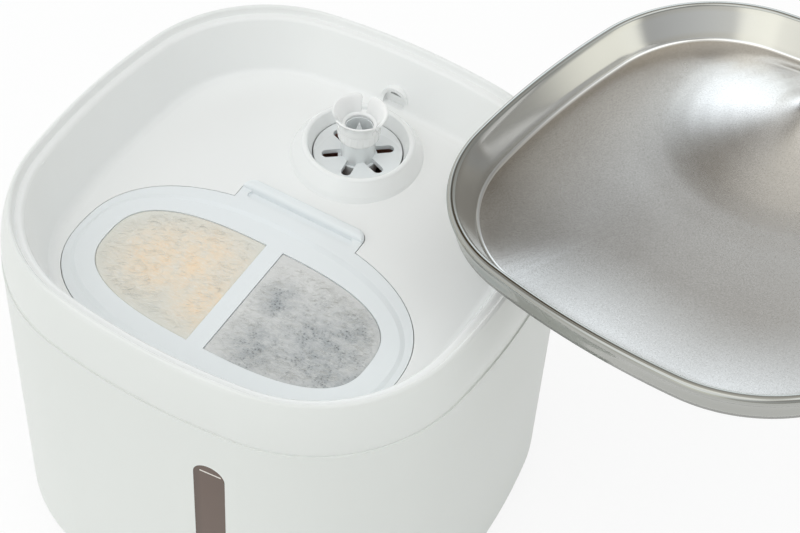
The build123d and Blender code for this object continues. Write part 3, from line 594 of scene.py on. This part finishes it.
def fleece_look(name, bare, over, specks, spots, strength, cover):
    """White fleece over grains. bare and over are its tones away from and over the heap of grains,
    specks the grains' own tone, strength how far they show and cover how much the fibres whiten;
    spots are (x, y, radius) where the grains press up, in metres."""
    made, tree, shader = finish(name, roughness=0.85, sheen_weight=0.25, sheen_roughness=0.5)
    at = node(tree, "TexCoord").outputs["Object"]
    threads = node(tree, "Group", node_tree=fleece)
    threads.inputs["Fine"].default_value = 1.0
    heap = None
    for x, y, radius in spots:
        place = node(tree, "Mapping", {"Vector": at, "Location": (-x / radius, -y / radius, 0.0),
                "Scale": (1 / radius, 1 / radius, 0.0)})
        reach = node(tree, "VectorMath", {0: place.outputs[0]}, operation="LENGTH")
        near = span(tree, reach.outputs["Value"], 1.25, 0.1, curve="SMOOTHSTEP")
        heap = near if heap is None else sums(tree, "MAXIMUM", heap, near)
    cloud = span(tree, threads.outputs["Cloud"], 0.34, 0.62)
    cloud_part = sums(tree, "MULTIPLY_ADD", cloud, 0.6, 0.4)
    shown = sums(tree, "MULTIPLY", heap, cloud_part)
    body = blended(tree, shown, bare, over)
    grains = node(tree, "TexVoronoi", {"Vector": at, "Scale": 1050.0, "Randomness": 1.0})
    dots = span(tree, grains.outputs["Distance"], 0.50, 0.20)
    pick = span(tree, threads.outputs["Cloud"], 0.46, 0.60)
    dot_mask = sums(tree, "MULTIPLY", dots, pick)
    dot_near = sums(tree, "MULTIPLY", dot_mask, heap)
    dot_part = sums(tree, "MULTIPLY", dot_near, strength)
    tone = blended(tree, dot_part, body, specks)
    strand = span(tree, threads.outputs["Fibre"], 0.52, 0.76)
    strand_part = sums(tree, "MULTIPLY", strand, cover)
    light = blended(tree, strand_part, tone, (0.86, 0.86, 0.84))
    tree.links.new(light, shader.inputs["Base Color"])
    bump = node(tree, "Bump", {"Height": threads.outputs["Fibre"], "Strength": 0.7, "Distance": 0.0002})
    tree.links.new(bump.outputs[0], shader.inputs["Normal"])
    return made


resin_look = fleece_look("resin_fleece", (0.74, 0.735, 0.67), (0.90, 0.735, 0.54), (0.80, 0.54, 0.30),
                         [(-0.021, -0.031, 0.022), (-0.008, -0.044, 0.016), (-0.033, -0.037, 0.020)], 0.28,
                         0.52)
carbon_look = fleece_look("carbon_fleece", (0.68, 0.685, 0.675), (0.37, 0.395, 0.41), (0.045, 0.05, 0.055),
                          [(0.038, -0.040, 0.026), (0.015, -0.030, 0.011), (0.044, -0.029, 0.014),
                           (0.020, -0.051, 0.016), (0.049, -0.047, 0.016)], 0.75, 0.42)
felt_look, felt_tree, felt_shader = finish("cotton_felt", roughness=0.95, sheen_weight=0.3,
        sheen_roughness=0.6)
felt_threads = node(felt_tree, "Group", node_tree=fleece)
felt_threads.inputs["Fine"].default_value = 0.8
felt_tree.links.new(ramp(felt_tree, felt_threads.outputs["Fibre"],
        [(0.35, (0.66, 0.66, 0.63)), (0.75, (0.84, 0.84, 0.81))]), felt_shader.inputs["Base Color"])
felt_bump = node(felt_tree, "Bump", {"Height": felt_threads.outputs["Fibre"], "Strength": 1.0,
        "Distance": 0.0004})
felt_tree.links.new(felt_bump.outputs[0], felt_shader.inputs["Normal"])


def filter_pad(name, side, look, replaced):
    """Closed pad: rows run out from a pole over a plug that fills the window, step down under the
    lid, run out to the cartridge wall, down it and back to a pole underneath. The plug's top is
    lumpy: products of slow sine waves, bent by each other."""
    centre = (side * 0.029, LID_Y)
    turns = corner_turns(centre, side)
    window = half_oval(side, centre, 0.05625, 0.02535, 0.02535, 2.77, 2.77, 0.00365, turns)
    bed = half_oval(side, centre, 0.0642, 0.0382, 0.0347, 2.29, 2.6, 0.0013, turns)
    rows = []

    def ring(reach, lift):
        rows.append(on_basin(centre[0] + reach * np.cos(turns), centre[1] + reach * np.sin(turns), lift))

    for part in np.linspace(0.02, 0.985, 50):
        x = centre[0] + part * window * np.cos(turns)
        y = centre[1] + part * window * np.sin(turns)
        lumps = (np.sin(610 * x + 2.1 * np.sin(420 * y)) * np.sin(540 * y + 1.7 * np.sin(380 * x)) * 0.6
                 + 0.4 * np.sin(1150 * x - 900 * y) * np.sin(1300 * y + 500 * x))
        ring(part * window, 0.00045 + 0.00035 * (1 - part ** 4) + 0.00020 * lumps * (1 - part ** 6))
    ring(window, 0.0003)
    ring(window, -0.0012)
    ring(window, -0.0026)
    for part in np.linspace(0.08, 0.96, 7):
        ring(window + part * (bed - window), -0.0029)
    ring(bed, -0.0033)
    for part in np.linspace(0.05, 0.97, 9):
        ring(bed - 0.0005 * math.sin(math.pi * part), -0.0033 - part * 0.0146)
    ring(bed - 0.0004, -0.0181)
    for part in np.linspace(0.95, 0.05, 10):
        ring(part * bed, -0.0182)
    pad = skin(name, (np.array(rows)[:, ::-1], "capped"))
    pad.data.materials.append(look)
    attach(pad, "cartridge")
    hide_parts(replaced)


def felt_slab(name, side, replaced):
    """Closed slab 2.2 mm thick with a soft edge and a slightly uneven face, run pole to pole."""
    centre = (side * 0.029, LID_Y)
    turns = corner_turns(centre, side)
    edge = half_oval(side, centre, 0.0641, 0.0381, 0.0346, 2.29, 2.6, 0.0014, turns)
    rows = []
    upper = [(part, -0.0184) for part in np.linspace(0.03, 0.97, 24)]
    rim = [(0.992, -0.0187), (1.0, -0.0194), (0.992, -0.0201)]
    under = [(part, -0.0205) for part in np.linspace(0.97, 0.03, 16)]
    for part, lift in upper + rim + under:
        x = centre[0] + part * edge * np.cos(turns)
        y = centre[1] + part * edge * np.sin(turns)
        rows.append(on_basin(x, y, lift + 0.00006 * np.sin(900 * x + 2 * np.sin(700 * y)) * np.sin(800 * y)))
    slab = skin(name, (np.array(rows)[:, ::-1], "capped"))
    slab.data.materials.append(felt_look)
    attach(slab, "cartridge")
    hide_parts(replaced)


def loose_fibres(name, side, count, seed, replaced):
    """Fibres teased up out of the pad's face: each a bent three-sided tube through seven stations
    on a shallow arc, most of them lying the way the fleece was combed."""
    drawn = np.random.default_rng(seed)
    centre = (side * 0.029, LID_Y)
    turn = drawn.uniform(0.0, 2 * math.pi, count)
    window = (0.0558, 0.0249, 0.0249, 2.77, 2.77, 0.0040)
    edge = half_oval(side, centre, *window, turn)
    out = np.sqrt(drawn.uniform(0.0, 1.0, count)) * 0.93 * edge
    lie = math.radians(24.0) + drawn.normal(0.0, 0.34, count)
    long, bend = drawn.uniform(0.0012, 0.0040, count), drawn.normal(0.0, 0.55, count)
    step = np.linspace(-0.5, 0.5, 7)
    forward = long[:, None] * step
    aside = long[:, None] * bend[:, None] * (step ** 2 - 0.12)
    lie_x, lie_y = np.cos(lie)[:, None], np.sin(lie)[:, None]
    x = centre[0] + (out * np.cos(turn))[:, None] + forward * lie_x - aside * lie_y
    y = centre[1] + (out * np.sin(turn))[:, None] + forward * lie_y + aside * lie_x
    away, round_to = np.hypot(x - centre[0], y - centre[1]), np.arctan2(y - centre[1], x - centre[0])
    inside = away < half_oval(side, centre, *window, round_to.ravel()).reshape(x.shape)
    kept = inside.all(axis=1)
    x, y, lie = x[kept], y[kept], lie[kept]
    lift = 0.00058 + drawn.uniform(0.0, 0.00024, len(x))[:, None] + 0.00012 * np.cos(math.pi * step)
    middle = on_basin(x, y, lift)
    across = np.stack([-np.sin(lie), np.cos(lie), np.zeros(len(lie))], axis=-1)[:, None, None, :]
    taper = np.array([0.5, 1, 1, 1, 1, 1, 0.5])[None, :, None, None]
    thick = drawn.uniform(0.000022, 0.00004, len(x))[:, None, None, None] * taper
    way = np.radians([0.0, 120.0, 240.0])[None, None, :, None]
    points = middle[:, :, None, :] + thick * (np.cos(way) * across + np.sin(way) * np.array([0.0, 0.0, 1.0]))
    here = np.arange(len(x) * 21).reshape(len(x), 7, 3)
    there = np.roll(here, -1, axis=2)
    sides = np.stack([here[:, :-1], there[:, :-1], there[:, 1:], here[:, 1:]], axis=-1)
    faces = sides.reshape(-1, 4).tolist()
    faces += here[:, 0, ::-1].tolist() + here[:, 6].tolist()
    mesh = bpy.data.meshes.new(name)
    mesh.from_pydata(points.reshape(-1, 3).tolist(), [], faces)
    mesh.polygons.foreach_set("use_smooth", np.ones(len(faces), dtype=bool))
    mesh.update()
    thing = bpy.data.objects.new(name, mesh)
    bpy.context.scene.collection.objects.link(thing)
    thing.data.materials.append(fibre_look)
    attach(thing, "cartridge")
    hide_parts(replaced)


fibre_look, fibre_tree, fibre_shader = finish("fleece_fibre", roughness=0.7, sheen_weight=0.3)
fibre_tone = node(fibre_tree, "TexNoise", {"Vector": node(fibre_tree, "TexCoord").outputs["Object"],
        "Scale": 260.0, "Detail": 2.0})
fibre_tree.links.new(ramp(fibre_tree, fibre_tone.outputs["Fac"],
        [(0.35, (0.78, 0.775, 0.74)), (0.65, (0.90, 0.90, 0.88))]), fibre_shader.inputs["Base Color"])
filter_pad("resin_pad", -1, resin_look, "resin_bed")
filter_pad("carbon_pad", 1, carbon_look, "carbon_bed")
loose_fibres("resin_fibres", -1, 1500, 7, "resin_bed")
loose_fibres("carbon_fibres", 1, 2100, 11, "carbon_bed")
felt_slab("resin_felt_slab", -1, "resin_felt")
felt_slab("carbon_felt_slab", 1, "carbon_felt")

# ---------------------------------------------------------------------------
# Drinking tray: one sheet of stainless steel, drawn into a shallow dish with a
# rolled rim and a short skirt. Its floor is satin, its wall and rim polished,
# and it rises all round into a broad dome about the outlet.
# ---------------------------------------------------------------------------
TRAY_TURN = np.array([[0.96433946, 0.21741549, -0.15093015],
                      [-0.22458625, 0.97392855, -0.03200307],
                      [0.14003722, 0.06475866, 0.98802626]])
TRAY_PLACE = np.array([141.9, 55.5, 194.6])


def soft_square(half, corner, side, columns):
    """Points and outward directions round four shallow side arcs and four corner arcs that meet
    at the same direction; a parallel outline is a point less its direction times the inset."""
    k = half - side
    c = (2 * k + math.sqrt(8 * (side - corner) ** 2 - 4 * k * k)) / 4
    bend = math.pi / 2 - math.atan2(c - k, c)
    points, ways = [], []
    for quarter in range(4):
        turn = quarter * math.pi / 2
        spin = np.array([[math.cos(turn), math.sin(turn)], [-math.sin(turn), math.cos(turn)]])
        for middle, radius, start, arc, share in (((k, 0.0), side, -bend, 2 * bend, 0.55),
                                                  ((c, c), corner, bend, math.pi / 2 - 2 * bend, 0.45)):
            angles = start + np.linspace(0, arc, int(columns / 4 * share), endpoint=False)
            way = np.stack([np.cos(angles), np.sin(angles)], axis=-1)
            points.append((np.array(middle) + radius * way) @ spin)
            ways.append(way @ spin)
    return np.vstack(points), np.vstack(ways)


def arc_through(first, middle, last, count):
    """Points on the circle through three points, without the first: its centre is where the two
    chords' middle lines cross."""
    (ax, ay), (bx, by), (cx, cy) = first, middle, last
    d = 2 * (ax * (by - cy) + bx * (cy - ay) + cx * (ay - by))
    aa, bb, cc = ax * ax + ay * ay, bx * bx + by * by, cx * cx + cy * cy
    ux = (aa * (by - cy) + bb * (cy - ay) + cc * (ay - by)) / d
    uy = (aa * (cx - bx) + bb * (ax - cx) + cc * (bx - ax)) / d
    radius = math.hypot(ax - ux, ay - uy)
    a, b, c = (math.atan2(y - uy, x - ux) for x, y in (first, middle, last))
    b, c = (a + (t - a + math.pi) % (2 * math.pi) - math.pi for t in (b, c))
    if (b - a) * (c - a) < 0:
        c += math.copysign(2 * math.pi, b - a)
    angles = np.linspace(a, c, count + 1)[1:]
    return [(ux + radius * math.cos(t), uy + radius * math.sin(t)) for t in angles]


# inset and height of the sheet's outer face, from the skirt's edge over the bead and down the wall
tray_edge = [(1.6, -10.0), (1.52, -8.2), (1.44, -6.3), (1.35, -4.4), (0.9, -3.3)]
tray_edge += arc_through((0.9, -3.3), (0.0, -1.6), (1.5, 0.0), 14)
tray_edge += [(2.0, 0.0)] + arc_through((2.2, 0.0), (2.9, -0.22), (3.3, -0.85), 6)
tray_edge += [(4.3, -2.65), (5.3, -4.45), (6.3, -6.25), (7.3, -8.05), (8.2, -9.68)]
tray_edge += arc_through((8.2, -9.68), (8.95, -10.75), (9.9, -11.0), 7)
WALL_LEAN = math.radians(29.0)

tray_points, tray_ways = soft_square(87.4, 55.5, 300.0, 384)
# the floor rises towards its foot: by nearly 3 mm at the front and less round the other sides,
# so the wall runs further down there; dish is the rise per column, lower the wall's extra length
way_turns = np.degrees(np.arctan2(tray_ways[:, 1], tray_ways[:, 0])) % 360
dish = np.interp(way_turns, [0, 45, 90, 135, 180, 215, 250, 262, 270, 290, 315, 360],
                 [0.8, 0.3, 0.3, 1.0, 0.3, 0.0, 0.1, 1.2, 2.6, 2.9, 2.4, 0.8])
dish_reach = np.interp(way_turns, [0, 90, 112, 142, 165, 250, 268, 315, 360],
                       [27.0, 27.0, 13.0, 13.0, 27.0, 27.0, 36.0, 36.0, 27.0])
for _ in range(4):
    dish = (np.roll(dish, 3) + dish + np.roll(dish, -3)) / 3
lower = 1.9 - dish
tray_rows = []
for inset, height in tray_edge:
    share = min(max((-height - 3.0) / 7.1, 0.0), 1.0) if inset > 3.0 else 0.0
    spread = inset + lower * share * math.tan(WALL_LEAN)
    tray_rows.append(np.column_stack([tray_points - spread[:, None] * tray_ways, height - lower * share]))
foot = tray_points - (9.9 + lower * math.tan(WALL_LEAN))[:, None] * tray_ways
outlet = np.array([0.0, 47.0])
reach = np.hypot(*(foot - outlet).T)
dome_r = [4.0, 5.0, 7.0, 10.0, 15.0, 21.0, 28.0, 36.0, 44.0, 52.0, 62.0, 220.0]
dome_rise = [12.0, 11.9, 11.3, 10.1, 8.0, 6.05, 4.15, 2.35, 0.95, 0.2, 0.0, 0.0]
fine_r = np.linspace(4.0, 80.0, 761)
fine_rise = np.interp(fine_r, dome_r, dome_rise)
for _ in range(3):
    fine_rise = np.convolve(np.pad(fine_rise, 12, mode="edge"), np.ones(25) / 25, mode="valid")
for part in np.linspace(0.0, 1.0, 54)[1:]:
    far = 5.0 + (reach - 5.0) * (1.0 - part) ** 1.3
    spot = outlet + (foot - outlet) * (far / reach)[:, None]
    inward = reach - far
    fade = np.clip(inward / 13.0, 0.0, 1.0)
    height = (-12.9 + dish * np.clip(1.0 - inward / dish_reach, 0.0, 1.0) ** 2
              + np.interp(far, fine_r, fine_rise) * fade * fade * (3 - 2 * fade))
    tray_rows.append(np.column_stack([spot, height]))
tray_grid = (np.array(tray_rows) @ TRAY_TURN.T + TRAY_PLACE) / 1000.0
tray = skin("drawn_tray", (tray_grid, "open"))
satin, rolled = np.zeros(tray_grid.shape[:2]), np.zeros(tray_grid.shape[:2])
satin[len(tray_edge) - 1:] = 1.0
rolled[:25] = 1.0
tray.data.attributes.new("satin", "FLOAT", "POINT").data.foreach_set("value", satin.ravel())
tray.data.attributes.new("rolled", "FLOAT", "POINT").data.foreach_set("value", rolled.ravel())
sheet = tray.modifiers.new("sheet", "SOLIDIFY")
SHEET_THICK = 0.0008
sheet.thickness = SHEET_THICK
sheet.offset = -1.0

tray_look, tray_tree, tray_shader = finish("tray_steel_sheet", metallic=1.0)
tray_at = node(tray_tree, "TexCoord").outputs["Object"]
tray_satin = node(tray_tree, "Attribute", attribute_name="satin").outputs["Fac"]
tray_speck = node(tray_tree, "TexNoise", {"Vector": tray_at, "Scale": 2300.0, "Detail": 2.0,
        "Roughness": 0.7})
tray_cloud = node(tray_tree, "TexNoise", {"Vector": tray_at, "Scale": 22.0, "Detail": 4.0, "Roughness": 0.6})
tray_rough = span(tray_tree, tray_cloud.outputs["Fac"], 0.3, 0.7, 0.23, 0.28)
tray_shine = span(tray_tree, tray_cloud.outputs["Fac"], 0.3, 0.7, 0.10, 0.14)
tray_gloss = node(tray_tree, "Mix", {0: tray_satin, 2: tray_shine, 3: tray_rough})
tray_tree.links.new(tray_gloss.outputs[0], tray_shader.inputs["Roughness"])
tray_mottle = sums(tray_tree, "MULTIPLY_ADD", tray_speck.outputs["Fac"], tray_satin, 0.5)
tray_tone = ramp(tray_tree, tray_mottle, [(0.5, (0.72, 0.715, 0.69)), (0.85, (0.565, 0.555, 0.53)),
        (1.0, (0.67, 0.66, 0.64))])
# painted reflection: the floor is tinted darker and warmer near its left wall; painted shade: floor and wall
# are darkened near the front left corner
tray_rolled = node(tray_tree, "Attribute", attribute_name="rolled").outputs["Fac"]
tray_across = along(tray_tree, tray_at, tuple(TRAY_TURN[:, 0]))
tray_side = span(tray_tree, tray_across, 0.0816, 0.1216, curve="SMOOTHSTEP")
tray_warm_reflection = blended(tray_tree, tray_side, (0.84, 0.80, 0.745), (1.0, 1.0, 1.0))
tray_reflection_tint = blended(tray_tree, tray_satin, (1.0, 1.0, 1.0), tray_warm_reflection)
tray_tone = node(tray_tree, "VectorMath", {0: tray_tone, 1: tray_reflection_tint}, operation="MULTIPLY").outputs[0]
# painted shade: floor and wall darken to 0.8 near a point by the front left corner, fading out by 85 mm
tray_spot = node(tray_tree, "Mapping", {"Vector": tray_at, "Location": (-0.062, 0.0, -0.19)})
tray_far = node(tray_tree, "VectorMath", {0: tray_spot.outputs[0]}, operation="LENGTH").outputs["Value"]
tray_painted_shade = span(tray_tree, tray_far, 0.020, 0.085, 0.80, 1.0, curve="SMOOTHSTEP")
tray_grain = node(tray_tree, "TexNoise", {"Vector": tray_at, "Scale": 1700.0, "Detail": 1.0,
        "Roughness": 0.6})
tray_off = sums(tray_tree, "SUBTRACT", tray_grain.outputs["Fac"], 0.5)
tray_fleck = sums(tray_tree, "MULTIPLY", tray_off, tray_satin)
tray_even = sums(tray_tree, "MULTIPLY_ADD", tray_fleck, 0.30, 1.0)
tray_level = sums(tray_tree, "MULTIPLY", tray_even, tray_painted_shade)
tray_tone = scaled(tray_tree, tray_tone, tray_level)
# painted dark reflection: the rolled rim and skirt get a much darker steel tone than floor and wall
tray_dark_rim_tone = blended(tray_tree, tray_rolled, tray_tone, (0.43, 0.435, 0.41))
tray_tree.links.new(tray_dark_rim_tone, tray_shader.inputs["Base Color"])
tray_depth = sums(tray_tree, "MULTIPLY", tray_speck.outputs["Fac"], tray_satin)
tray_bump = node(tray_tree, "Bump", {"Height": tray_depth, "Strength": 0.3, "Distance": 0.00002})
tray_tree.links.new(tray_bump.outputs[0], tray_shader.inputs["Normal"])
tray.data.materials.append(tray_look)
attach(tray, "tray")
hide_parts("drinking_tray")
